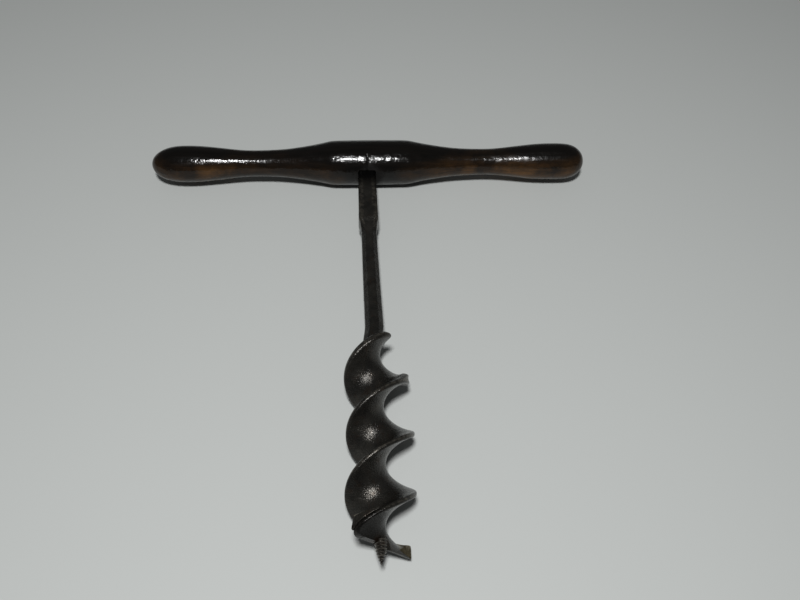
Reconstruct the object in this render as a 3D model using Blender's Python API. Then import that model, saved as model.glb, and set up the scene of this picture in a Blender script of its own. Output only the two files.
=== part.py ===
"""T-handle auger: a turned hardwood cross handle on a forged iron bit.

The bit is a square tang with a bolster and an octagonal shank, forge-welded to a flat bar
twisted right-handed, with two raised side lips and a tapered lead screw at the nose.
The tool lies as it rests on a bench: +X along the handle, the nose towards -Y, +Z up.
"""
import math

import bmesh
import bpy
import numpy as np

# Fits
WELD_GAP = 0.0003
MORTISE_GAP = 0.0003

# Handle, turned about X
HANDLE_LEN = 0.406
BARREL_D = 0.0422
BARREL_LEN = 0.0685
WAIST_D = 0.0246
HOLLOW_LEN = 0.07175
GRIP_D = 0.0342
END_LEN = 0.034
LEFT_END_FULLNESS = 2.6
RIGHT_END_FULLNESS = 3.8
HANDLE_SIDES = 32
HOLLOW_STEPS = 8
SWELL_STEPS = 7
END_STEPS = 8

# Tang, bolster and shank
TANG_W = 0.0105
TANG_END_W = 0.0080
TANG_CHAMFER = 0.0004
BOLSTER_W = 0.0148
BOLSTER_CHAMFER = 0.0014
BOLSTER_LET_IN = 0.0036
BOLSTER_LEN = 0.0701
NECK_LEN = 0.0112
SHANK_LEN = 0.1148
SHANK_TOP_W = 0.0125
SHANK_END_W = 0.0145
SCARF_LEN = 0.006
SCARF_LEAD = 0.006
SCARF_END_W = 0.0088

# Rove, let into a flat on the back of the barrel, with the tang riveted over it
ROVE_D = 0.021
ROVE_T = 0.0024
ROVE_LET_IN = 0.0029
ROVE_SIDES = 32
RIVET_W = 0.0125
RIVET_H = 0.0030
RIVET_DOME = math.radians(63.0)
RIVET_STEPS = 3

# Twisted bar
BIT_D = 0.0508
BAR_T = 0.0075
BAR_ROUND = 0.0018
BAR_POINTS = 9
CORNER_STEPS = 3
TWIST_LEN = 0.1644
TWIST_PITCH = 0.0943
TOP_ANGLE = math.radians(66.7)
TWIST_STEPS = 80
SHOULDER_LEN = 0.009
SHOULDER_DROP = 0.005
NOSE_LEN = 0.0138
NOSE_TWIST = 0.2
CUT_BEVEL_LEN = 0.010
CUT_EDGE_T = 0.0040
CUT_CORNER = 0.0006
LEFT_EDGE_BACK = 0.006

# Side lips raised from the outer ends of the cutting edges
LIP_T = 0.0032
LIP_H = 0.0090
LIP_ARC = math.radians(38.0)
LIP_TIP_H = 0.0010
LIP_STEPS = 10

# Lead screw
SCREW_D = 0.0092
SCREW_LEN = 0.010
SCREW_TENON = 0.012
SCREW_THREAD_IN = 0.0035
SCREW_PITCH = 0.0029
SCREW_DEPTH = 0.0009
SCREW_POINT_D = 0.0008
SCREW_SIDES = 16
SCREW_ROWS = 6
THREAD_RUN_IN = 0.0022
THREAD_RUN_OUT = 0.0045

# Cutting tools run past what they cut, and edges sharper than this are shaded sharp
OVERRUN = 0.01
SHARP_ANGLE = math.radians(35.0)

# Share of a square's width that is cut from its corners to make it a regular octagon
REGULAR = 1 - math.sqrt(0.5)

# Places that follow from the sizes; distances along the bit start at the handle's axis
BARREL_R = BARREL_D / 2
BACK = BARREL_R + OVERRUN
WAIST_X = BARREL_LEN / 2 + HOLLOW_LEN
GRIP_X = HANDLE_LEN / 2 - END_LEN
BOLSTER_SEAT = BARREL_R - BOLSTER_LET_IN
BOLSTER_END = BOLSTER_SEAT + BOLSTER_LEN
ROVE_SEAT = BARREL_R - ROVE_LET_IN
ROVE_TOP = ROVE_SEAT + WELD_GAP + ROVE_T
BIT_R = BIT_D / 2
TWIST_TOP = BOLSTER_END + NECK_LEN + SHANK_LEN
TWIST_END = TWIST_TOP + TWIST_LEN
LEFT_END = TWIST_END - LEFT_EDGE_BACK
SCREW_ROOT = TWIST_END - SCREW_TENON
SCREW_THREAD = TWIST_END - SCREW_THREAD_IN
SCREW_TIP = TWIST_END + SCREW_LEN


def twist_angle(s):
    """Angle of the bar about the bit's axis at distance s from the handle's axis.

    The twist is even as far as the nose, where it falls off to a fraction of its rate.
    """
    past = max(0.0, s - (TWIST_END - NOSE_LEN))
    even = s - TWIST_TOP - (1 - NOSE_TWIST) * past ** 2 / (2 * NOSE_LEN)
    return TOP_ANGLE + 2 * math.pi * even / TWIST_PITCH


def point(x, s, n):
    """Place x across, s along the bit and n above its axis in the tool's frame."""
    return (x, -s, n)


def material(name, colour, roughness, metallic):
    mat = bpy.data.materials.new(name)
    mat.use_nodes = True
    bsdf = mat.node_tree.nodes["Principled BSDF"]
    bsdf.inputs["Base Color"].default_value = (*colour, 1.0)
    bsdf.inputs["Roughness"].default_value = roughness
    bsdf.inputs["Metallic"].default_value = metallic
    return mat


def add_object(name, bm, mat):
    """Turn a bmesh into a named object with outward faces."""
    bmesh.ops.recalc_face_normals(bm, faces=bm.faces[:])
    mesh = bpy.data.meshes.new(name)
    bm.to_mesh(mesh)
    bm.free()
    mesh.shade_smooth()
    mesh.set_sharp_from_angle(angle=SHARP_ANGLE)
    obj = bpy.data.objects.new(name, mesh)
    bpy.context.scene.collection.objects.link(obj)
    if mat is not None:
        mesh.materials.append(mat)
    return obj


def loft(rings, split=False):
    """Skin a list of equal rings of points and close both ends.

    Warped cells are split along one diagonal throughout, so that mating skins match.
    """
    bm = bmesh.new()
    loops = [[bm.verts.new(p) for p in ring] for ring in rings]
    count = len(loops[0])
    for a, b in zip(loops, loops[1:]):
        for i in range(count):
            j = (i + 1) % count
            if split:
                bm.faces.new((a[i], a[j], b[j]))
                bm.faces.new((a[i], b[j], b[i]))
            else:
                bm.faces.new((a[i], a[j], b[j], b[i]))
    for loop in (loops[0], loops[-1]):
        for i in range(count // 2 - 1):
            bm.faces.new((loop[i], loop[i + 1], loop[-2 - i], loop[-1 - i]))
    return bm


def lathe_x(profile, sides):
    """Spin a profile of (x, radius) points about the X axis."""
    bm = bmesh.new()
    verts = [bm.verts.new((x, r, 0.0)) for x, r in profile]
    edges = [bm.edges.new(pair) for pair in zip(verts, verts[1:])]
    bmesh.ops.spin(bm, geom=verts + edges, cent=(0, 0, 0), axis=(1, 0, 0),
                   angle=2 * math.pi, steps=sides, use_merge=True)
    bmesh.ops.remove_doubles(bm, verts=bm.verts[:], dist=1e-6)
    return bm


def octagon(width, chamfer, s):
    """Square of the given width with its corners cut back by the chamfer."""
    h = width / 2
    c = h - chamfer
    corners = [(h, -c), (h, c), (c, h), (-c, h), (-h, c), (-h, -c), (-c, -h), (c, -h)]
    return [point(x, s, n) for x, n in corners]


def regular_octagon(width, s):
    return octagon(width, width * REGULAR, s)


def cutter(name, bm):
    obj = add_object(name, bm, None)
    obj.hide_render = True
    obj.display_type = "WIRE"
    return obj


def cut(obj, tool):
    mod = obj.modifiers.new("Cut " + tool.name, "BOOLEAN")
    mod.operation = "DIFFERENCE"
    mod.solver = "EXACT"
    mod.object = tool


def handle_radius(x):
    """Barrel, hollow waist, swelled grip and rounded end, from the middle outwards."""
    waist = WAIST_D / 2
    grip = GRIP_D / 2
    shoulder = BARREL_LEN / 2
    reach = abs(x)
    if reach <= shoulder:
        return BARREL_R
    if reach <= WAIST_X:
        u = (reach - shoulder) / HOLLOW_LEN
        return waist + (BARREL_R - waist) * (1 - u) ** 2
    if reach <= GRIP_X:
        u = (reach - WAIST_X) / (GRIP_X - WAIST_X)
        return waist + (grip - waist) * (0.5 - 0.5 * math.cos(math.pi * u))
    u = (reach - GRIP_X) / END_LEN
    fullness = RIGHT_END_FULLNESS if x > 0 else LEFT_END_FULLNESS
    return grip * math.sqrt(max(0.0, 1 - u ** fullness))


def handle_stations():
    """Stations along one half of the handle, closer together round the end."""
    shoulder = BARREL_LEN / 2
    hollow = np.linspace(shoulder, WAIST_X, HOLLOW_STEPS + 1)
    swell = np.linspace(WAIST_X, GRIP_X, SWELL_STEPS + 1)[1:]
    end = GRIP_X + END_LEN * np.sin(np.linspace(0, math.pi / 2, END_STEPS + 1)[1:])
    return [0.0] + [float(x) for x in np.concatenate((hollow, swell, end))]


def tang_width(s):
    """The tang tapers from the bolster's seat to the back of the barrel."""
    u = (BOLSTER_SEAT - s) / (BOLSTER_SEAT + ROVE_TOP)
    return TANG_W + (TANG_END_W - TANG_W) * u


def bar_half_width(s):
    """Half the bar's width, rounded off at the shoulder where it leaves the shank."""
    full = BAR_ROUND + math.sqrt((BIT_R - BAR_ROUND) ** 2 - (BAR_T / 2 - BAR_ROUND) ** 2)
    u = max(0.0, 1 - (s - TWIST_TOP) / SHOULDER_LEN)
    return full - SHOULDER_DROP * (1 - math.sqrt(max(0.0, 1 - min(1.0, u) ** 2)))


def bar_section(s, grow):
    """Outline of the bar across its axis, with rounded corners.

    Towards the nose each half is thinned to a keen cutting edge from its trailing face.
    """
    half_t = BAR_T / 2 + grow
    right = bar_half_width(s) + grow
    bevel = max(0.0, 1 - (TWIST_END - s) / CUT_BEVEL_LEN)
    thin = (BAR_T - CUT_EDGE_T) * bevel
    corner = BAR_ROUND + (CUT_CORNER - BAR_ROUND) * bevel

    def trailing(u):
        return half_t - thin * max(0.0, min(1.0, 0.5 - u / SCREW_D))

    inner = -right + corner
    outer = right - corner
    edge = trailing(inner) - corner
    turn = [math.pi / 2 * i / CORNER_STEPS for i in range(CORNER_STEPS + 1)]
    top = [(inner - corner * math.cos(a), edge + corner * math.sin(a)) for a in turn[:-1]]
    top += [(float(u), trailing(u)) for u in np.linspace(inner, outer, BAR_POINTS)]
    top += [(outer + corner * math.sin(a), half_t - corner + corner * math.cos(a)) for a in turn[1:]]
    return top + [(-u, -v) for u, v in top]


def twisted_bar(stations, grow=0.0):
    """Loft the bar's section along the bit while it turns with the twist."""
    rings = []
    for s in stations:
        a = twist_angle(s)
        c, d = math.cos(a), math.sin(a)
        ring = [point(u * c - v * d, s, u * d + v * c) for u, v in bar_section(s, grow)]
        rings.append(ring)
    return loft(rings, split=True)


def leading_face(angle, radius, side):
    """Distance along the bit to a point just clear of one half's leading face."""
    lead = math.asin((BAR_T / 2 + WELD_GAP) / radius)
    even = (angle - lead - TOP_ANGLE - side * math.pi) / (2 * math.pi) * TWIST_PITCH
    nose = TWIST_END - NOSE_LEN - TWIST_TOP
    if even <= nose:
        return TWIST_TOP + even
    slack = 1 - NOSE_TWIST
    root = math.sqrt(max(0.0, 1 - 2 * slack * (even - nose) / NOSE_LEN))
    return TWIST_TOP + nose + (1 - root) * NOSE_LEN / slack


def side_lip(side, end):
    """Curved plate that rises towards the handle from the outer end of one cutting edge."""
    lead = math.asin((BAR_T / 2) / BIT_R)
    last = twist_angle(end) + side * math.pi + lead
    inner = BIT_R - LIP_T
    start_top = leading_face(last - LIP_ARC, BIT_R, side) - LIP_TIP_H
    rings = []
    for i in range(LIP_STEPS + 1):
        u = i / LIP_STEPS
        angle = last - LIP_ARC * (1 - u)
        foot_in = leading_face(angle, inner, side) - WELD_GAP
        foot_out = leading_face(angle, BIT_R, side) - WELD_GAP
        top = start_top + (end - LIP_H - start_top) * u
        corners = ((inner, foot_in), (BIT_R, foot_out), (BIT_R, top), (inner, top))
        ring = [point(r * math.cos(angle), s, r * math.sin(angle)) for r, s in corners]
        rings.append(ring)
    return loft(rings)


def left_edge_cut():
    """Block that takes the left half of the nose back from the right one."""
    a = twist_angle(TWIST_END) + math.pi
    c, d = math.cos(a), math.sin(a)
    outline = [(0.0, -BIT_R), (BIT_D, -BIT_R), (BIT_D, BIT_R), (0.0, BIT_R)]
    return loft([[point(r * c - w * d, s, r * d + w * c) for r, w in outline]
                 for s in (LEFT_END, TWIST_END + OVERRUN)])


def screw_radius(s, angle):
    """Plain root, then a tapered worm with a ridge that follows a right-handed thread."""
    if s <= SCREW_THREAD:
        return SCREW_D / 2
    u = (s - SCREW_THREAD) / (SCREW_TIP - SCREW_THREAD)
    outer = SCREW_D / 2 + (SCREW_POINT_D / 2 - SCREW_D / 2) * u ** 2
    phase = ((s - SCREW_THREAD) / SCREW_PITCH - angle / (2 * math.pi)) % 1.0
    ridge = 1 - abs(2 * phase - 1)
    deepen = (s - SCREW_THREAD) / THREAD_RUN_IN
    fade = (SCREW_TIP - s) / THREAD_RUN_OUT
    depth = SCREW_DEPTH * min(1.0, deepen, fade)
    return outer - depth * (1 - ridge)


def lead_screw():
    """Rings of the worm, a few to each turn of its thread, on a plain tenon."""
    rows = round((SCREW_TIP - SCREW_THREAD) / SCREW_PITCH * SCREW_ROWS)
    stations = [SCREW_ROOT] + list(np.linspace(SCREW_THREAD, SCREW_TIP, rows + 1))
    rings = []
    for s in stations:
        ring = []
        for i in range(SCREW_SIDES):
            a = 2 * math.pi * i / SCREW_SIDES
            r = screw_radius(s, a)
            ring.append(point(r * math.cos(a), s, r * math.sin(a)))
        rings.append(ring)
    return loft(rings)


def cylinder_along_bit(radius, start, end, sides):
    turn = [2 * math.pi * i / sides for i in range(sides)]
    ring = [(radius * math.cos(a), radius * math.sin(a)) for a in turn]
    return loft([[point(x, s, n) for x, n in ring] for s in (start, end)])


for old in list(bpy.data.objects):
    bpy.data.objects.remove(old, do_unlink=True)

wood = material("Dark polished hardwood", (0.030, 0.012, 0.006), 0.28, 0.0)
iron = material("Forged iron, aged", (0.060, 0.055, 0.048), 0.48, 1.0)
steel = material("Welded steel edge, worn", (0.085, 0.072, 0.055), 0.45, 1.0)

# Handle, mortised for the tang and seated for the bolster and the rove
right_half = handle_stations()
stations = [-x for x in right_half[:0:-1]] + right_half
profile = [(x, handle_radius(x)) for x in stations]
handle = add_object("handle", lathe_x(profile, HANDLE_SIDES), wood)

mortise = loft([octagon(tang_width(s) + 2 * MORTISE_GAP, TANG_CHAMFER, s)
                for s in (BOLSTER_SEAT + OVERRUN, -BACK)])
cut(handle, cutter("mortise_cutter", mortise))
seat = loft([octagon(BOLSTER_W + 2 * MORTISE_GAP, BOLSTER_CHAMFER, s)
             for s in (BOLSTER_SEAT - MORTISE_GAP, BACK)])
cut(handle, cutter("bolster_seat_cutter", seat))
flat = cylinder_along_bit(ROVE_D / 2 + MORTISE_GAP, -ROVE_SEAT, -BACK, ROVE_SIDES)
cut(handle, cutter("rove_flat_cutter", flat))

# Tang, bolster and shank in one forging, riveted over at the back of the handle
rivet_foot = -(ROVE_TOP + WELD_GAP)
rivet_turns = [RIVET_DOME * i / RIVET_STEPS for i in range(RIVET_STEPS, -1, -1)]
shank_rings = [
    regular_octagon(RIVET_W * math.cos(a), rivet_foot - RIVET_H * math.sin(a) / math.sin(RIVET_DOME))
    for a in rivet_turns
] + [
    octagon(tang_width(rivet_foot), TANG_CHAMFER, rivet_foot),
    octagon(tang_width(BOLSTER_SEAT), TANG_CHAMFER, BOLSTER_SEAT),
    octagon(BOLSTER_W, BOLSTER_CHAMFER, BOLSTER_SEAT),
    octagon(BOLSTER_W, BOLSTER_CHAMFER, BOLSTER_END),
    regular_octagon(SHANK_TOP_W, BOLSTER_END + NECK_LEN),
    regular_octagon(SHANK_END_W, TWIST_TOP - SCARF_LEAD),
    regular_octagon(SCARF_END_W, TWIST_TOP + SCARF_LEN),
]
shank = add_object("shank", loft(shank_rings), iron)
bar_stations = [float(s) for s in np.linspace(TWIST_TOP, TWIST_END, TWIST_STEPS + 1)]
slot_end = TWIST_TOP + SCARF_LEN + 2 * (bar_stations[1] - TWIST_TOP)
slot_stations = [TWIST_TOP - WELD_GAP] + [s for s in bar_stations[1:] if s < slot_end]
slot = twisted_bar(slot_stations, grow=WELD_GAP)
cut(shank, cutter("scarf_slot_cutter", slot))

# Rove under the riveted end of the tang
rove_disc = cylinder_along_bit(ROVE_D / 2, -(ROVE_SEAT + WELD_GAP), -ROVE_TOP, ROVE_SIDES)
rove = add_object("rove", rove_disc, iron)
rove_hole = loft([octagon(tang_width(s) + 2 * MORTISE_GAP, TANG_CHAMFER, s)
                  for s in (OVERRUN - ROVE_SEAT, -BACK)])
cut(rove, cutter("rove_hole_cutter", rove_hole))

# Flat bar twisted right-handed, its left edge set back, bored at the nose for the lead screw's root
twist = add_object("twist_blade", twisted_bar(bar_stations), iron)
root_hole = cylinder_along_bit(SCREW_D / 2 + WELD_GAP, SCREW_ROOT - WELD_GAP,
                               TWIST_END + OVERRUN, SCREW_SIDES)
cut(twist, cutter("screw_root_cutter", root_hole))
cut(twist, cutter("left_edge_cutter", left_edge_cut()))

# Cutting lips and lead screw
right_lip = add_object("right_lip", side_lip(0, TWIST_END), steel)
left_lip = add_object("left_lip", side_lip(1, LEFT_END), steel)
screw = add_object("lead_screw", lead_screw(), steel)

# Lying on the bench: the barrel and the lowest edge of the twist touch it
lie = 0.0
for s in bar_stations:
    a = twist_angle(s)
    low = max(-u * math.sin(a) - v * math.cos(a) for u, v in bar_section(s, 0.0))
    lie = max(lie, math.atan2(low, s) - math.asin(BARREL_R / math.hypot(s, low)))
rest = bpy.data.objects.new("bench_rest", None)
bpy.context.scene.collection.objects.link(rest)
rest.rotation_euler = (-lie, 0.0, 0.0)
pieces = [handle, shank, rove, twist, right_lip, left_lip, screw]
for obj in [o for o in bpy.data.objects if o.type == "MESH"]:
    obj.parent = rest
bpy.context.view_layer.update()

# Origin under the middle of the tool, on the bench
low = np.full(3, np.inf)
high = np.full(3, -np.inf)
for obj in pieces:
    corners = np.array([obj.matrix_world @ v.co for v in obj.data.vertices])
    low = np.minimum(low, corners.min(axis=0))
    high = np.maximum(high, corners.max(axis=0))
middle = (low + high) / 2
rest.location = (-float(middle[0]), -float(middle[1]), -float(low[2]))
bpy.context.view_layer.update()
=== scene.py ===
import math

import bmesh
import bpy
import numpy as np
from mathutils import Matrix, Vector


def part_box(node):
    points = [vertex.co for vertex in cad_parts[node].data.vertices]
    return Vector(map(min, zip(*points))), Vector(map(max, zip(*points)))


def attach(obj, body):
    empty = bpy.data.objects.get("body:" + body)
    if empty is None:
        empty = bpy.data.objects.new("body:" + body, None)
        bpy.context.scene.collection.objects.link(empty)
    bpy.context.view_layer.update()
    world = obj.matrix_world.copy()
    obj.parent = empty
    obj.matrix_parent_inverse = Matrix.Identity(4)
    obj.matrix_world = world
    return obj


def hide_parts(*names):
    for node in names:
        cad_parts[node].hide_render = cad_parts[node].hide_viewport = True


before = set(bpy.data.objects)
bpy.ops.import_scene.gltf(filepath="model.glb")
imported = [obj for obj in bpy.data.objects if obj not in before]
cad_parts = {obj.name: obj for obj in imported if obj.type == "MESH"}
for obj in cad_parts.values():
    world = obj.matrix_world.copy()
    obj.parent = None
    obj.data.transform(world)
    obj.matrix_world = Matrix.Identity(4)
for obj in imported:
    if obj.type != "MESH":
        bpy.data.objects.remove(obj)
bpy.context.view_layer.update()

# The twisted blade
# A flat bar of wrought iron, heated and twisted right-handed about its own length.
# It is dark from the fire and from handling, and its rims are rounded and rubbed by use.


def centre_of(node):
    """Middle of a node's box."""
    low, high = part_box(node)
    return (np.array(low) + np.array(high)) / 2


# The bit's line runs from the rove behind the handle, through the handle's middle, to the nose.
handle_middle = centre_of("handle")
across = np.array((1.0, 0.0, 0.0))
along = handle_middle - centre_of("rove")
along /= np.linalg.norm(along)
above = np.cross(along, across)


def place(x, s, n):
    """Points at x across the bit, s along it from the handle's axis and n above it."""
    x, s, n = np.broadcast_arrays(x, s, n)
    return handle_middle + x[..., None] * across + s[..., None] * along + n[..., None] * above


def smooth(way):
    """A smooth step: three squares of the way less two cubes of it, level at both ends."""
    way = np.clip(way, 0, 1)
    return way ** 2 * (3 - 2 * way)


lean = 0.0033
lean_start = 0.020
lean_end = 0.205
kink = 0.0022
kink_start = 0.192
kink_peak = 0.2106
kink_end = 0.2656
bow = 0.0017
bow_start = 0.210
bow_end = 0.375


def bent(x, s, n):
    """Points of the bit, which isn't quite straight.

    Its line stands to the left below the handle and comes back along the shank as a parabola,
    steps to the left and back at the weld, and bows to the right along the twist as the square
    of a sine.
    """
    leant = -lean * smooth(s / lean_start) * np.clip(1 - (s / lean_end) ** 2, 0, 1)
    stepped = smooth((s - kink_start) / (kink_peak - kink_start))
    kinked = -kink * stepped * smooth((kink_end - s) / (kink_end - kink_peak))
    bowed = bow * np.sin(np.pi * np.clip((s - bow_start) / (bow_end - bow_start), 0, 1)) ** 2
    return place(x + leant + kinked + bowed, s, n)


def ripple(a, b, size, seed, waves=6):
    """Slow unevenness between -1 and 1 over two lengths: the mean of a few plane sine waves.

    Each wave has its own direction, its own phase and a length near the given size.
    """
    draw = np.random.default_rng(seed)
    total = 0.0
    for turn, phase, stretch in zip(draw.uniform(0, 2 * np.pi, waves),
                                    draw.uniform(0, 2 * np.pi, waves),
                                    draw.uniform(0.7, 1.5, waves)):
        k = 2 * np.pi / (size * stretch)
        total = total + np.sin(k * (a * np.cos(turn) + b * np.sin(turn)) + phase)
    return total / waves


crease_angle = math.radians(40.0)


def skin(name, points, attributes=(), looped=False):
    """A closed mesh from a grid of points: columns run round the piece and meet, rows along it.

    Each end row is closed by a ladder of quads across it, or looped rows meet too. The attributes
    are values for each point, for the material to read.
    """
    rows, columns = points.shape[:2]
    bands = rows if looped else rows - 1
    row, column = np.meshgrid(np.arange(bands), np.arange(columns), indexing="ij")
    beside = (column + 1) % columns
    below = (row + 1) % rows
    faces = np.stack((row * columns + column, row * columns + beside,
                      below * columns + beside, below * columns + column), -1).reshape(-1, 4)
    if not looped:
        rung = np.arange(columns // 2 - 1)
        ladder = np.stack((rung, rung + 1, columns - 2 - rung, columns - 1 - rung), -1)
        faces = np.concatenate((faces, ladder, ladder + (rows - 1) * columns))
    mesh = bpy.data.meshes.new(name)
    mesh.from_pydata(points.reshape(-1, 3).tolist(), [], faces.tolist())
    for key, values in dict(attributes).items():
        layer = mesh.attributes.new(key, "FLOAT", "POINT")
        values = np.broadcast_to(values, (rows, columns))
        layer.data.foreach_set("value", values.ravel().astype(np.float32))
    form = bmesh.new()
    form.from_mesh(mesh)
    bmesh.ops.recalc_face_normals(form, faces=form.faces[:])
    form.to_mesh(mesh)
    form.free()
    mesh.shade_smooth()
    mesh.set_sharp_from_angle(angle=crease_angle)
    piece = bpy.data.objects.new(name, mesh)
    bpy.context.scene.collection.objects.link(piece)
    return piece


def linear(hex_colour):
    """An sRGB hex colour as linear red, green, blue and alpha."""
    srgb = np.array([int(hex_colour[i:i + 2], 16) for i in (1, 3, 5)]) / 255
    rgb = np.where(srgb <= 0.04045, srgb / 12.92, ((srgb + 0.055) / 1.055) ** 2.4)
    return (*rgb.tolist(), 1.0)


def add(tree, kind, inputs=None, stops=None, **settings):
    """Add a shader node: its settings, its sockets' values or links, and a ramp's stops."""
    made = tree.nodes.new("ShaderNode" + kind)
    for name, value in settings.items():
        setattr(made, name, value)
    for key, value in (inputs or {}).items():
        if isinstance(value, bpy.types.NodeSocket):
            tree.links.new(value, made.inputs[key])
        else:
            made.inputs[key].default_value = value
    if stops:
        ramp = made.color_ramp.elements
        while len(ramp) < len(stops):
            ramp.new(0.5)
        for element, (position, colour) in zip(ramp, stops):
            element.position = position
            element.color = linear(colour) if isinstance(colour, str) else (colour,) * 3 + (1,)
    return made


def scale_for(size_mm):
    """Texture scale whose features are about this many millimetres, on coordinates in metres."""
    return 1000.0 / size_mm


rust_patch_colour = "#563f2e"
# Near black, mixed in by the darkening attribute: painted shade on the blade's nose, and the shank darker
# towards the handle.
darkening_colour = "#080706"


def forged_iron(name, dark_colour, light_colour, rust_colour, worn_colour):
    """Wrought iron under old fire scale: dark and dull, finely pitted, with specks of rust.

    The eye gets a nearly black grey-brown whose highlights break up into glittering grains.
    The grains are drawn about 1 mm across, coarser than real scale, so that they show.
    A piece's own attributes say where it is rubbed bright, rusted brown or darkened towards black,
    which on the blade's nose is painted shade.
    """
    iron = bpy.data.materials.new(name)
    iron.use_nodes = True
    tree = iron.node_tree
    shader = tree.nodes["Principled BSDF"]
    spot = add(tree, "TexCoord").outputs["Object"]
    mottle = add(tree, "TexNoise", {"Vector": spot, "Scale": scale_for(12), "Detail": 6.0,
                                    "Roughness": 0.7})
    base = add(tree, "ValToRGB", {"Fac": mottle.outputs["Fac"]},
               stops=((0.36, dark_colour), (0.64, light_colour)))
    specks = add(tree, "TexNoise", {"Vector": spot, "Scale": scale_for(7), "Detail": 8.0,
                                    "Roughness": 0.8, "Distortion": 0.5})
    speck_share = add(tree, "ValToRGB", {"Fac": specks.outputs["Fac"]}, stops=((0.54, 0.0), (0.72, 0.6)))
    speckled = add(tree, "Mix", {0: speck_share.outputs["Color"], 6: base.outputs["Color"],
                                 7: linear(rust_colour)}, data_type="RGBA")
    rust = add(tree, "Attribute", attribute_name="rust")
    rusted = add(tree, "Mix", {0: rust.outputs["Fac"], 6: speckled.outputs[2],
                               7: linear(rust_patch_colour)}, data_type="RGBA")
    wear = add(tree, "Attribute", attribute_name="wear")
    patch = add(tree, "TexNoise", {"Vector": spot, "Scale": scale_for(3), "Detail": 4.0})
    rubbed = add(tree, "Math", {0: wear.outputs["Fac"], 1: patch.outputs["Fac"]}, operation="MULTIPLY")
    worn_share = add(tree, "ValToRGB", {"Fac": rubbed.outputs["Value"]}, stops=((0.28, 0.0), (0.52, 1.0)))
    worn = add(tree, "Mix", {0: worn_share.outputs["Color"], 6: rusted.outputs[2],
                             7: linear(worn_colour)}, data_type="RGBA")
    # Darkening towards black: painted shade on the blade's nose, and darker towards the handle on the
    # shank.
    darkening = add(tree, "Attribute", attribute_name="darkening")
    darkened = add(tree, "Mix", {0: darkening.outputs["Fac"], 6: worn.outputs[2],
                              7: linear(darkening_colour)}, data_type="RGBA")
    tree.links.new(darkened.outputs[2], shader.inputs["Base Color"])
    pits = add(tree, "TexNoise", {"Vector": spot, "Scale": scale_for(1.1), "Detail": 2.0,
                                  "Roughness": 0.7})
    rough = add(tree, "MapRange", {"Value": pits.outputs["Fac"], "From Min": 0.3, "From Max": 0.7,
                                   "To Min": 0.17, "To Max": 0.36})
    tree.links.new(rough.outputs["Result"], shader.inputs["Roughness"])
    hammered = add(tree, "TexNoise", {"Vector": spot, "Scale": scale_for(6), "Detail": 2.0})
    broad = add(tree, "Bump", {"Height": hammered.outputs["Fac"], "Strength": 0.2, "Distance": 0.002})
    fine = add(tree, "Bump", {"Height": pits.outputs["Fac"], "Strength": 0.5, "Distance": 0.0006,
                              "Normal": broad.outputs["Normal"]})
    tree.links.new(fine.outputs["Normal"], shader.inputs["Normal"])
    shader.inputs["Metallic"].default_value = 0.7
    return iron


bit_radius = 0.0254
bar_thickness = 0.0075
rim_round = 0.0018
rim_swell = 0.0034
stout = 0.0052
stout_length = 0.032
bar_top = 0.2092
twist_top = 0.2136
twist_end = 0.378
twist_pitch = 0.0943
top_angle = math.radians(66.7)
top_round = 0.0034
shoulder_length = 0.011
shoulder_drop = 0.0053
shoulder_round = 0.0038
slimness = 0.0010
slim_run = 0.080
flare = 0.0012
flare_run = 0.028
knob_place = 0.2433
knob_run = 0.007
knob_swell = 1.4
knob_round = 0.0030
left_corner = 0.0075
left_corner_run = 0.007
nose_length = 0.0138
nose_twist = 0.2
bevel_length = 0.010
cutting_thickness = 0.0016
cutting_round = 0.0006
left_edge_back = 0.005
left_lip_back = 0.003
set_back_run = 0.040
left_turn = math.radians(10.0)
left_turn_run = 0.020
screw_diameter = 0.0090
rust_place = 0.3735
rust_run = 0.0035
rust_side = 0.0058
rust_width = 0.0022
# Painted shade: the left half of the blade is darkened towards the nose, where it lies in shade.
nose_painted_shade = 0.78
nose_shade_start = 0.352
nose_shade_run = 0.012
hammer_mark = 0.012
rim_wear = 0.8
rim_wear_power = 6
rim_columns = 12
face_columns = 44


def twist_angle(s):
    """Turn of the bar at s: one turn to a pitch, easing to a fifth of that rate at the nose."""
    past = np.maximum(0.0, s - (twist_end - nose_length))
    even = s - twist_top - (1 - nose_twist) * past ** 2 / (2 * nose_length)
    return top_angle + 2 * np.pi * even / twist_pitch


# One half of the bar's outline runs from a rounded rim over a face to the other rim.
# Each column has its share of the face's width, how far it leans out and how high it rises.
rim_turn = np.linspace(0, np.pi / 2, rim_columns)
face_share = np.linspace(-1, 1, face_columns + 2)[1:-1]
share = np.concatenate((np.full(rim_columns, -1.0), face_share, np.full(rim_columns, 1.0)))
lean_out = np.concatenate((-np.cos(rim_turn), 0 * face_share, np.sin(rim_turn)))
rise = np.concatenate((np.sin(rim_turn), 1 + 0 * face_share, np.cos(rim_turn)))


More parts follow.
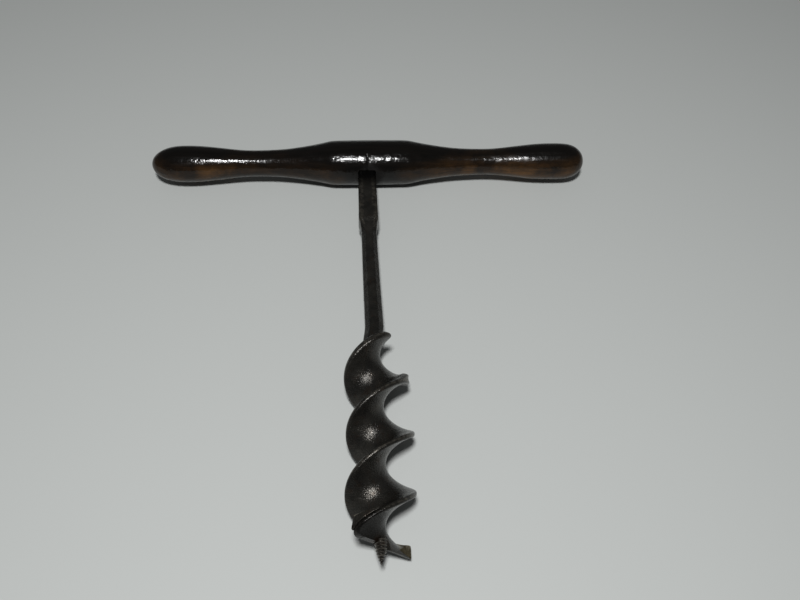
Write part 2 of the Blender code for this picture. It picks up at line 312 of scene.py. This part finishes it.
def half_section(s, left_share):
    """Half of the bar's outline at s, as u across it and v through it.

    The rims are quarter ellipses. Near the shank the bar is stouter and slimmer, its end is rounded
    over and its shoulder drawn in along quarter circles. A knob on the left rim is a bell curve
    along the bar, with the cube of the share across it. The bar flares at the nose, where each half
    thins from its trailing face to its edge.
    """
    inset = top_round * (1 - np.sqrt(1 - np.clip(1 - (s - bar_top) / top_round, 0, 1) ** 2))
    half = (bar_thickness + stout * np.clip(1 - (s - bar_top) / stout_length, 0, 1)) / 2 - inset
    fat = half / (bar_thickness / 2)
    full = rim_round + math.sqrt((bit_radius - rim_round) ** 2 - (bar_thickness / 2 - rim_round) ** 2)
    full = full - slimness * np.clip(1 - (s - bar_top) / slim_run, 0, 1)
    full = full + flare * smooth(1 - (twist_end - s) / flare_run)
    drawn_in = np.clip(1 - (s - bar_top) / shoulder_length, 0, 1)
    right = full - shoulder_drop * (1 - np.sqrt(1 - drawn_in ** 2)) - inset
    bevel = np.clip(1 - (twist_end - s) / bevel_length, 0, 1)
    knob = left_share * np.exp(-((s - knob_place) / knob_run) ** 2)
    half = half * (1 + knob_swell * knob * np.abs(share) ** 3)
    depth = (rim_round + (cutting_round - rim_round) * bevel) * fat
    depth = depth + shoulder_round * drawn_in + knob_round * knob
    swell = (rim_swell + (cutting_round - rim_swell) * bevel) * fat
    flat = (right - depth) * share
    thin = (bar_thickness - cutting_thickness) * bevel * np.clip(0.5 - flat / screw_diameter, 0, 1)
    return flat + depth * lean_out, half - thin - swell * (1 - rise)


def left_turned(s, left):
    """Extra turn of the left half towards its end, a smooth step over its last stretch."""
    return left_turn * left * smooth(1 - (twist_end - left_edge_back - s) / left_turn_run)


def twisted_bar(rows=560, crowding=1.15, unevenness=0.00012):
    """The outline carried along the bit and turned with the twist, with its left edge set back.

    A point's own distance along the bit falls behind its row's by the set-back times its share,
    which grows from the middle of the bar to the left within the lead screw's root. The left half's
    last corner is rounded along a quarter circle. Rust is a bell curve, and the painted shade that
    darkens the left half towards the nose is a smooth step.
    """
    row_s = bar_top + (twist_end - bar_top) * np.linspace(0, 1, rows)[:, None] ** crowding
    near_nose = np.clip(1 - (twist_end - row_s) / set_back_run, 0, 1)
    halves = []
    for way in (1, -1):
        left_share = np.clip(-way * share * bit_radius / (screw_diameter / 2), 0, 1)
        s = row_s - left_edge_back * near_nose * left_share
        u, v = half_section(s, left_share)
        corner = np.clip(1 - (twist_end - left_edge_back - s) / left_corner_run, 0, 1)
        u = u * (1 - left_share * left_corner / bit_radius * (1 - np.sqrt(1 - corner ** 2)))
        v = v + unevenness * rise * ripple(s, u, hammer_mark, seed=3 + way)
        halves.append((way * u, s, way * v, left_share + 0 * s))
    u, s, v, left = (np.hstack(part) for part in zip(*halves))
    turned = twist_angle(s) + left_turned(s, left)
    rust = np.exp(-((s - rust_place) / rust_run) ** 2 - ((u + rust_side) / rust_width) ** 2)
    # Painted shade: the left half darkens towards the nose.
    darkening = nose_painted_shade * left * smooth((s - nose_shade_start) / nose_shade_run)
    points = bent(u * np.cos(turned) - v * np.sin(turned), s, u * np.sin(turned) + v * np.cos(turned))
    return points, rust, darkening


blade_wear = np.tile(np.abs(lean_out) ** rim_wear_power, 2)[None, :] * rim_wear
blade_points, blade_rust, blade_painted_shade = twisted_bar()
blade = skin("twist_blade_forged", blade_points,
             {"wear": blade_wear, "rust": blade_rust, "darkening": blade_painted_shade})
iron = forged_iron("Wrought iron, old fire scale", "#2a2927", "#3e3c38", "#402e20", "#5e5a52")
blade.data.materials.append(iron)
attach(blade, "root")
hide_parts("twist_blade")

# The side lips
# Two small plates of steel, curved to the bore and welded on edge to the ends of the cutting edges.
# They scribe the hole's wall ahead of the chip, and run down in a hollow to the blade's face.
lip_thickness = 0.0032
lip_height = 0.0090
lip_arc = math.radians(38.0)
lip_tip_height = 0.0010
lip_rise = 0.7
lip_hollow = 0.009
lip_tip_wear = 0.6
weld_depth = 0.0006


def leading_face(angle, radius, side):
    """Distance along the bit at which one half's leading face passes an angle and a radius.

    It undoes the twist: even as far as the nose, and from there the root of its easing.
    """
    lead = np.arcsin(bar_thickness / 2 / radius)
    even = (angle - lead - top_angle - side * np.pi) / (2 * np.pi) * twist_pitch
    nose = twist_end - nose_length - twist_top
    slack = 1 - nose_twist
    root = np.sqrt(np.maximum(0.0, 1 - 2 * slack * np.maximum(0.0, even - nose) / nose_length))
    return twist_top + np.where(even <= nose, even, nose + (1 - root) * nose_length / slack)


def side_lip(side, end, steps=48, round_points=48, squareness=7.0):
    """A plate bent to the bore, from its low tip to its tall end at the cutting edge.

    Its section is a rounded square, |p|^k + |q|^k = 1, stretched from the foot to the top. Its top
    edge rises with a root of the way, and its inner wall spreads towards the foot with a square.
    """
    lead = math.asin(bar_thickness / 2 / bit_radius)
    last = twist_angle(np.array(end)) + side * np.pi + lead
    way = np.linspace(0, 1, steps)[:, None]
    angle = last - lip_arc * (1 - way)
    turn = np.linspace(0, 2 * np.pi, round_points, endpoint=False)[None, :]
    p = np.sign(np.cos(turn)) * np.abs(np.cos(turn)) ** (2 / squareness)
    q = np.sign(np.sin(turn)) * np.abs(np.sin(turn)) ** (2 / squareness)
    inward = 0.5 - 0.5 * p
    radius = bit_radius + flare - inward * (lip_thickness + lip_hollow * way * (0.5 - 0.5 * q) ** 2)
    foot = leading_face(angle, radius, side) + weld_depth
    tip = leading_face(angle[0], bit_radius, side) - lip_tip_height
    top = tip + (end - lip_height - tip) * way ** lip_rise
    s = foot + (top - foot) * (0.5 + 0.5 * q)
    wear = np.clip(q, 0, 1) ** 2 * (lip_tip_wear + (1 - lip_tip_wear) * way)
    angle = angle + left_turned(s, side)
    return bent(radius * np.cos(angle), s, radius * np.sin(angle)), wear


# The right lip's browned steel is painted lighter olive-brown than the left lip's: painted light on its
# shaded hollow.
lips = (("right_lip", 0, twist_end,
         forged_iron("Welded edge steel, browned, painted lighter", "#4f4938", "#6b614b", "#5a4128", "#8f8775")),
        ("left_lip", 1, twist_end - left_edge_back - left_lip_back,
         forged_iron("Welded edge steel, dark", "#2a2926", "#3e3b36", "#402e20", "#8f8775")))
for lip_name, lip_side, lip_end, lip_steel in lips:
    lip_points, lip_wear = side_lip(lip_side, lip_end)
    lip = skin(lip_name + "_filed", lip_points, {"wear": lip_wear})
    lip.data.materials.append(lip_steel)
    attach(lip, "root")
    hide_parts(lip_name)

# The lead screw
# A short tapered worm of steel let into the nose, which draws the bit into the wood.
# Its thread is cut by hand with a file, so the crests are bright and the roots dark.
screw_root = 0.3620
screw_belly = 0.3740
screw_tip = 0.3880
screw_taper = 1.7
root_taper = 0.30
screw_pitch = 0.00215
thread_depth = 0.0009
thread_keenness = 1.4
point_diameter = 0.0006
thread_start = 0.3660
thread_run_in = 0.0040
thread_run_out = 0.0040


def worm(rows=440, columns=96):
    """A spindle cut by a right-handed thread.

    From its belly the radius falls with a power of the way to the tip, and with the square of the
    way to the root, less the thread's depth times a ridge that turns once round for each pitch.
    """
    s = np.linspace(screw_root, screw_tip, rows)[:, None]
    turn = np.linspace(0, 2 * np.pi, columns, endpoint=False)[None, :]
    to_tip = np.clip((s - screw_belly) / (screw_tip - screw_belly), 0, 1)
    to_root = np.clip((screw_belly - s) / (screw_belly - screw_root), 0, 1)
    outer = (screw_diameter + (point_diameter - screw_diameter) * to_tip ** screw_taper) / 2
    outer = outer * (1 - root_taper * to_root ** 2)
    phase = (s / screw_pitch - turn / (2 * np.pi)) % 1.0
    ridge = (1 - np.abs(2 * phase - 1)) ** thread_keenness
    run_in = np.clip((s - thread_start) / thread_run_in, 0, 1)
    run_out = np.clip((screw_tip - s) / thread_run_out, 0, 1)
    radius = outer - thread_depth * run_in * run_out * (1 - ridge)
    return bent(radius * np.cos(turn), s, radius * np.sin(turn)), ridge * run_in * run_out


worm_points, worm_wear = worm()
screw = skin("lead_screw_filed", worm_points, {"wear": worm_wear})
screw_steel = forged_iron("Filed screw steel, dark", "#2b2926", "#403d38", "#4a3322", "#77726a")
screw.data.materials.append(screw_steel)
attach(screw, "root")
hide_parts("lead_screw")

# The shank
# One bar of iron, drawn down square for the tang, left heavy at the bolster and forged to eight flats.
# Its lower end is scarfed and welded into the blade, and its upper end is riveted over the rove.
barrel_radius = 0.0211
bolster_seat = 0.0175
bolster_end = 0.0780
step_length = 0.0040
neck_length = 0.0140
tang_width = 0.0105
tang_end_width = 0.0080
tang_chamfer = 0.0004
bolster_width = 0.0160
bolster_end_width = 0.0174
bolster_chamfer = 0.0014
step_width = 0.0152
shank_top_width = 0.0132
shank_end_width = 0.0152
scarf_lead = 0.006
scarf_length = 0.006
scarf_end_width = 0.0088
fit_gap = 0.0003
rove_seat = 0.0182
rove_thickness = 0.0024
rivet_width = 0.0125
rivet_height = 0.0030
rivet_keenness = 14
rivet_edge = math.radians(80.0)
rivet_rows = 12
shank_keenness = 34
shank_dent = 0.010
shank_dent_size = 0.02
corner_wear = 0.7
corner_reach = 1.05
corner_run = 0.05
darkening_end = 0.045
darkening_run = 0.020
stretch_rows = 26
stretch_margin = 0.00025
shortest_stretch = 0.001
hair = 1e-6
octagon_share = 1 - math.sqrt(0.5)
flat_points = 96
round_bit = np.linspace(0, 2 * np.pi, flat_points, endpoint=False)[None, :]


def flats(width, chamfer, keenness):
    """Radius at each turn of a square bar with chamfered corners.

    It is the nearest of eight flats, taken as a power mean so that the corners are rounded.
    """
    half = np.asarray(width)[:, None] / 2
    corner = (2 * half - np.asarray(chamfer)[:, None]) / math.sqrt(2)
    total = 0.0
    for eighth in range(8):
        distance = half if eighth % 2 == 0 else corner
        total = total + np.maximum(0.0, np.cos(round_bit - eighth * np.pi / 4) / distance) ** keenness
    return total ** (-1 / keenness)


# Widths change evenly from place to place along the shank, and step within a hair at the bolster's seat.
rivet_foot = -(rove_seat + fit_gap + rove_thickness + fit_gap)
shank_places = (rivet_foot, bolster_seat - hair, bolster_seat, bolster_end, bolster_end + step_length,
                bolster_end + neck_length, twist_top - scarf_lead, twist_top + scarf_length)
shank_widths = (tang_end_width, tang_width, bolster_width, bolster_end_width, step_width,
                shank_top_width, shank_end_width, scarf_end_width)
shank_chamfers = (tang_chamfer, tang_chamfer, bolster_chamfer, bolster_chamfer,
                  step_width * octagon_share / 2, shank_top_width * octagon_share,
                  shank_end_width * octagon_share, scarf_end_width * octagon_share)
shank_s = np.concatenate([np.linspace(start + stretch_margin, end - stretch_margin, stretch_rows)
                          for start, end in zip(shank_places, shank_places[1:])
                          if end - start > shortest_stretch])
shank_width = np.interp(shank_s, shank_places, shank_widths)
shank_chamfer = np.interp(shank_s, shank_places, shank_chamfers)
dome = np.linspace(rivet_edge, 0, rivet_rows)
dome_width = rivet_width * np.cos(dome)
shank_radius = np.concatenate((flats(dome_width, dome_width * octagon_share, rivet_keenness),
                               flats(shank_width, shank_chamfer, shank_keenness)))
shank_s = np.concatenate((rivet_foot - rivet_height * np.sin(dome), shank_s))[:, None]
shank_dents = ripple(shank_s, shank_radius * round_bit, shank_dent_size, seed=4)
shank_radius = shank_radius * (1 + shank_dent * shank_dents * (shank_s > barrel_radius))
past_flat = shank_radius / shank_radius.min(1, keepdims=True)
shank_wear = np.clip((past_flat - corner_reach) / corner_run, 0, 1) * corner_wear
# The shank is darker towards the handle.
shank_darkening = smooth((darkening_end - shank_s) / darkening_run) * (shank_s > 0)
shank_points = bent(shank_radius * np.cos(round_bit), shank_s, shank_radius * np.sin(round_bit))
shank = skin("shank_forged", shank_points, {"wear": shank_wear, "darkening": shank_darkening})
shank.data.materials.append(iron)
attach(shank, "root")
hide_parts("shank")

# The handle
# One length of close-grained hardwood, turned between centres with a barrel, two waists and two grips,
# mortised through the barrel for the tang, then oiled and polished dark by hands.
handle_length = 0.406
barrel_length = 0.0685
barrel_crown = 0.0004
barrel_corner = 0.0003
waist_radius = 0.0123
hollow_length = 0.07175
hollow_corner_share = 0.7
grip_radius = 0.0171
end_length = 0.034
left_fullness = 2.6
right_fullness = 3.8
turning_dent = 0.00018
turning_dent_size = 0.03
rove_diameter = 0.0176
crack_x = -0.0030
crack_width = 0.0007
crack_depth = 0.0006
crack_sway = 0.0006
crack_waves = 9
crack_from = math.radians(10)
crack_to = math.radians(64)
crack_fade = 0.05
mortise_reach = 0.032
mortise_keenness = 60
tang_rows = 16
middle_reach = 0.005
middle_rows = 25
body_rows = 254
end_rows = 60
handle_columns = 144


def turned_radius(x):
    """Barrel, hollow waist, swelled grip and rounded end, from the middle outwards.

    The barrel has a slight crown, the fourth power of the way to its shoulder, and meets the hollow,
    a parabola, in a soft corner, the smooth least of the two. The swell is half a cosine wave and
    the end a rounded square.
    """
    reach = np.abs(x)
    shoulder = barrel_length / 2
    waist_x = shoulder + hollow_length
    grip_x = handle_length / 2 - end_length
    barrel = barrel_radius - barrel_crown * np.minimum(1, reach / shoulder) ** 4
    to_waist = 1 - (reach - shoulder) / hollow_length
    hollow = waist_radius + (barrel_radius - waist_radius) * to_waist ** 2
    body = -barrel_corner * np.logaddexp(-barrel / barrel_corner, -hollow / barrel_corner)
    swell = waist_radius + (grip_radius - waist_radius) * (
        0.5 - 0.5 * np.cos(np.pi * (reach - waist_x) / (grip_x - waist_x)))
    fullness = np.where(x < 0, left_fullness, right_fullness)
    ended = np.sqrt(np.maximum(0.0, 1 - np.clip((reach - grip_x) / end_length, 0, 1) ** fullness))
    near_waist = np.where(reach < shoulder + hollow_corner_share * hollow_length, body, hollow)
    return np.select((reach <= waist_x, reach <= grip_x), (near_waist, swell), grip_radius * ended)


end_turn = np.linspace(0, np.pi / 2, end_rows)
end_x = handle_length / 2 - end_length + end_length * np.sin(end_turn)
middle_x = np.linspace(0, middle_reach, middle_rows, endpoint=False)
body_x = np.linspace(middle_reach, handle_length / 2 - end_length, body_rows, endpoint=False)
right_x = np.concatenate((middle_x, body_x, end_x))
handle_x = np.concatenate((-right_x[:0:-1], right_x))[1:-1, None]
round_handle = np.linspace(0, 2 * np.pi, handle_columns, endpoint=False)[None, :]
handle_radius = turned_radius(handle_x)
handle_dents = ripple(handle_x, handle_radius * round_handle, turning_dent_size, seed=7)

# A fine shrinkage crack wanders round the barrel over the mortise.
crack_line = crack_x + crack_sway * np.sin(round_handle * crack_waves)
crack_run = np.clip((round_handle - crack_from) * (crack_to - round_handle) / crack_fade, 0, 1)
crack = np.exp(-((handle_x - crack_line) / crack_width) ** 2) * crack_run
handle_radius = handle_radius - turning_dent * (1 + handle_dents) - crack_depth * crack
handle_points = place(handle_x, handle_radius * np.cos(round_handle), handle_radius * np.sin(round_handle))
handle = skin("handle_turned", handle_points, {"crack": crack})

# The mortise is square for the tang, wider for the bolster in front and round for the rove behind.
tang_s = np.linspace(-rove_seat + hair, bolster_seat - fit_gap - hair, tang_rows)
tang_widths = np.interp(tang_s, (tang_s[0], tang_s[-1]), (tang_end_width, tang_width))
mortise_s = np.concatenate(((-mortise_reach, -rove_seat), tang_s,
                            (bolster_seat - fit_gap, mortise_reach)))
mortise_radius = np.concatenate((
    np.full((2, flat_points), rove_diameter / 2 + fit_gap),
    flats(tang_widths + 2 * fit_gap, np.full(tang_rows, tang_chamfer), mortise_keenness),
    flats(np.full(2, bolster_width + 2 * fit_gap), np.full(2, bolster_chamfer), mortise_keenness)))
mortise = skin("mortise", bent(mortise_radius * np.cos(round_bit), mortise_s[:, None],
                               mortise_radius * np.sin(round_bit)))
cut = handle.modifiers.new("mortise", "BOOLEAN")
cut.operation = "DIFFERENCE"
cut.solver = "MANIFOLD"
cut.object = mortise
whole = handle.data
mortised = handle.evaluated_get(bpy.context.evaluated_depsgraph_get())
handle.data = bpy.data.meshes.new_from_object(mortised)
handle.modifiers.clear()
bpy.data.objects.remove(mortise)
bpy.data.meshes.remove(whole)
handle.data.name = "handle_turned"
handle.data.shade_smooth()
handle.data.set_sharp_from_angle(angle=crease_angle)

grain_stretch = 0.08
# Painted light: the lighter warm brown shows fully below the first height and fades out by the second, on
# the lower side that faces the pale board.
painted_light_low = 0.001
painted_light_high = 0.014
right_grip_start = 0.08
right_grip_full = 0.12
dull_reach = 0.009
dull_fade = 0.017


def polished_hardwood():
    """Old oiled hardwood: near black with dirt and oil, warm brown where hands have rubbed it.

    The eye gets a dark, faintly streaked wood under an old polish that is smooth but not even,
    so that a lamp shows in it as broken streaks. The brown lies in patches, most of all on the
    grips, and is shown only on the lower side, lighter there: painted light for the glow of the
    pale board below. The right grip is a little less smooth, and round the tang the wood is dull.
    """
    wood = bpy.data.materials.new("Hardwood, oiled and hand-polished")
    wood.use_nodes = True
    tree = wood.node_tree
    shader = tree.nodes["Principled BSDF"]
    spot = add(tree, "TexCoord").outputs["Object"]
    moved = add(tree, "Mapping", {"Vector": spot, "Location": tuple(-handle_middle)})
    centred = moved.outputs["Vector"]
    drawn_out = add(tree, "Mapping", {"Vector": centred, "Scale": (grain_stretch, 1.0, 1.0)})
    stretched = drawn_out.outputs["Vector"]
    streak = add(tree, "TexNoise", {"Vector": stretched, "Scale": scale_for(4), "Detail": 6.0,
                                    "Roughness": 0.65, "Distortion": 0.4})
    grain = add(tree, "ValToRGB", {"Fac": streak.outputs["Fac"]},
                stops=((0.30, "#090807"), (0.70, "#110e0c")))
    # The rubbed wood's warm brown, made lighter as painted light, since it is shown only on the lower
    # side.
    warm = add(tree, "ValToRGB", {"Fac": streak.outputs["Fac"]},
               stops=((0.30, "#352411"), (0.70, "#6c4b27")))
    rubbed = add(tree, "TexNoise", {"Vector": centred, "Scale": scale_for(22), "Detail": 4.0,
                                    "Roughness": 0.6})
    sides = add(tree, "SeparateXYZ", {"Vector": centred})
    way_across = add(tree, "MapRange", {"Value": sides.outputs["X"], "From Min": -handle_length / 2,
                                        "From Max": handle_length / 2})
    held = add(tree, "ValToRGB", {"Fac": way_across.outputs["Result"]},
               stops=((0.03, 0.35), (0.14, 0.85), (0.25, 0.25), (0.38, 0.20), (0.42, 0.45), (0.45, 0.0),
                      (0.55, 0.0), (0.59, 0.25), (0.63, 0.30), (0.72, 0.75), (0.86, 1.0), (0.97, 0.60)))
    patches = add(tree, "MapRange", {"Value": rubbed.outputs["Fac"], "From Min": 0.36, "From Max": 0.64,
                                     "To Min": 0.15})
    # Painted light: the warm brown is kept to the lower side, which faces the pale board.
    lower = add(tree, "MapRange", {"Value": sides.outputs["Z"], "From Min": painted_light_low,
                                   "From Max": painted_light_high, "To Min": 1.0, "To Max": 0.0})
    held_and_painted_lower = add(tree, "Math", {0: held.outputs["Color"], 1: lower.outputs["Result"]},
                   operation="MULTIPLY")
    share_warm = add(tree, "Math", {0: held_and_painted_lower.outputs["Value"], 1: patches.outputs["Result"]},
                     operation="MULTIPLY")
    coloured = add(tree, "Mix", {0: share_warm.outputs["Value"], 6: grain.outputs["Color"],
                                 7: warm.outputs["Color"]}, data_type="RGBA")
    cracked = add(tree, "Attribute", attribute_name="crack")
    darkened = add(tree, "Mix", {0: cracked.outputs["Fac"], 6: coloured.outputs[2],
                              7: linear("#060505")}, data_type="RGBA")
    tree.links.new(darkened.outputs[2], shader.inputs["Base Color"])
    smear = add(tree, "TexNoise", {"Vector": stretched, "Scale": scale_for(3), "Detail": 4.0})
    gloss = add(tree, "MapRange", {"Value": smear.outputs["Fac"], "From Min": 0.3, "From Max": 0.7,
                                   "To Min": 0.10, "To Max": 0.22})
    right_grip = add(tree, "MapRange", {"Value": sides.outputs["X"], "From Min": right_grip_start,
                                        "From Max": right_grip_full, "To Min": 1.0, "To Max": 1.4})
    handled = add(tree, "Math", {0: gloss.outputs["Result"], 1: right_grip.outputs["Result"]},
                  operation="MULTIPLY")
    from_tang = add(tree, "CombineXYZ", {"X": sides.outputs["X"], "Z": sides.outputs["Z"]})
    tang_distance = add(tree, "VectorMath", {0: from_tang.outputs["Vector"]}, operation="LENGTH")
    dull = add(tree, "MapRange", {"Value": tang_distance.outputs["Value"], "From Min": dull_reach,
                                  "From Max": dull_fade, "To Min": 0.6, "To Max": 0.0})
    rough = add(tree, "Math", {0: handled.outputs["Value"], 1: dull.outputs["Result"]},
                operation="MAXIMUM")
    tree.links.new(rough.outputs["Value"], shader.inputs["Roughness"])
    shader.inputs["Specular IOR Level"].default_value = 0.3
    pores = add(tree, "TexNoise", {"Vector": stretched, "Scale": scale_for(1.2), "Detail": 3.0})
    dents = add(tree, "TexNoise", {"Vector": centred, "Scale": scale_for(5), "Detail": 3.0})
    soft = add(tree, "Bump", {"Height": dents.outputs["Fac"], "Strength": 0.22, "Distance": 0.002})
    fine = add(tree, "Bump", {"Height": pores.outputs["Fac"], "Strength": 0.15, "Distance": 0.0006,
                              "Normal": soft.outputs["Normal"]})
    tree.links.new(fine.outputs["Normal"], shader.inputs["Normal"])
    return wood


handle.data.materials.clear()
handle.data.materials.append(polished_hardwood())
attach(handle, "root")
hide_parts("handle")

# The rove
# A round iron washer let into a flat on the back of the barrel, with the tang riveted over it.
# It spreads the pull of the tang across the wood.
rove_rows = 36
rove_roundness = 0.3
rove_wear = 0.5
hole_keenness = 40

# Its section is a rounded square between the tang's hole and the rim, carried round in a ring.
rove_turn = np.linspace(0, 2 * np.pi, rove_rows, endpoint=False)
rove_p = np.sign(np.cos(rove_turn)) * np.abs(np.cos(rove_turn)) ** rove_roundness
rove_q = np.sign(np.sin(rove_turn)) * np.abs(np.sin(rove_turn)) ** rove_roundness
hole = flats(np.full(rove_rows, tang_end_width + 2 * fit_gap), np.full(rove_rows, tang_chamfer),
             hole_keenness)
rove_radius = hole + (rove_diameter / 2 - hole) * (0.5 + 0.5 * rove_p[:, None])
rove_s = -(rove_seat + fit_gap + rove_thickness * (0.5 + 0.5 * rove_q))
rove_points = place(rove_radius * np.cos(round_bit), rove_s[:, None], rove_radius * np.sin(round_bit))
rove = skin("rove_forged", rove_points, {"wear": np.clip(rove_p, 0, 1)[:, None] * rove_wear}, looped=True)
rove.data.materials.append(iron)
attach(rove, "root")
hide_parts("rove")

# The stage
# A pale painted board under one round lamp hung on the near side, with a dim room around it.
# The camera stands where a fit to the object's outlines puts it.
board_reach = 6.0
photo_width = 800
focal_length_px = 845.3
sensor_width = 36.0
camera_place = (-0.0119, -0.4025, 0.5817)
camera_heading = math.radians(-4.55)
camera_tilt = math.radians(37.02)
camera_roll = math.radians(2.75)
floor_mesh = bpy.data.meshes.new("board")
floor_mesh.from_pydata([(-board_reach, -board_reach, 0), (board_reach, -board_reach, 0),
                        (board_reach, board_reach, 0), (-board_reach, board_reach, 0)],
                       [], [(0, 1, 2, 3)])
board = bpy.data.objects.new("board", floor_mesh)
bpy.context.scene.collection.objects.link(board)
pale = bpy.data.materials.new("Pale painted board")
pale.use_nodes = True
paint = pale.node_tree.nodes["Principled BSDF"]
paint.inputs["Base Color"].default_value = linear("#c4c7c5")
paint.inputs["Roughness"].default_value = 0.6
floor_mesh.materials.append(pale)

lamp_data = bpy.data.lights.new("lamp", "AREA")
lamp_data.shape = "DISK"
lamp_data.size = 0.18
lamp_data.energy = 17.0
lamp = bpy.data.objects.new("lamp", lamp_data)
bpy.context.scene.collection.objects.link(lamp)
lamp.location = (-0.06, -0.50, 1.35)
lamp.rotation_euler = (-lamp.location).to_track_quat("-Z", "Y").to_euler()

world = bpy.data.worlds.new("dim_room")
world.use_nodes = True
bpy.context.scene.world = world
room = world.node_tree.nodes["Background"]
room.inputs["Color"].default_value = linear("#8a8c8c")
room.inputs["Strength"].default_value = 0.28

camera_data = bpy.data.cameras.new("camera")
camera_data.sensor_fit = "HORIZONTAL"
camera_data.sensor_width = sensor_width
camera_data.lens = focal_length_px * sensor_width / photo_width
camera = bpy.data.objects.new("camera", camera_data)
bpy.context.scene.collection.objects.link(camera)
camera.matrix_world = (Matrix.Translation(camera_place)
                       @ Matrix.Rotation(camera_heading, 4, "Z")
                       @ Matrix.Rotation(camera_tilt, 4, "X")
                       @ Matrix.Rotation(camera_roll, 4, "Z"))
bpy.context.scene.camera = camera
bpy.context.scene.view_settings.view_transform = "Standard"
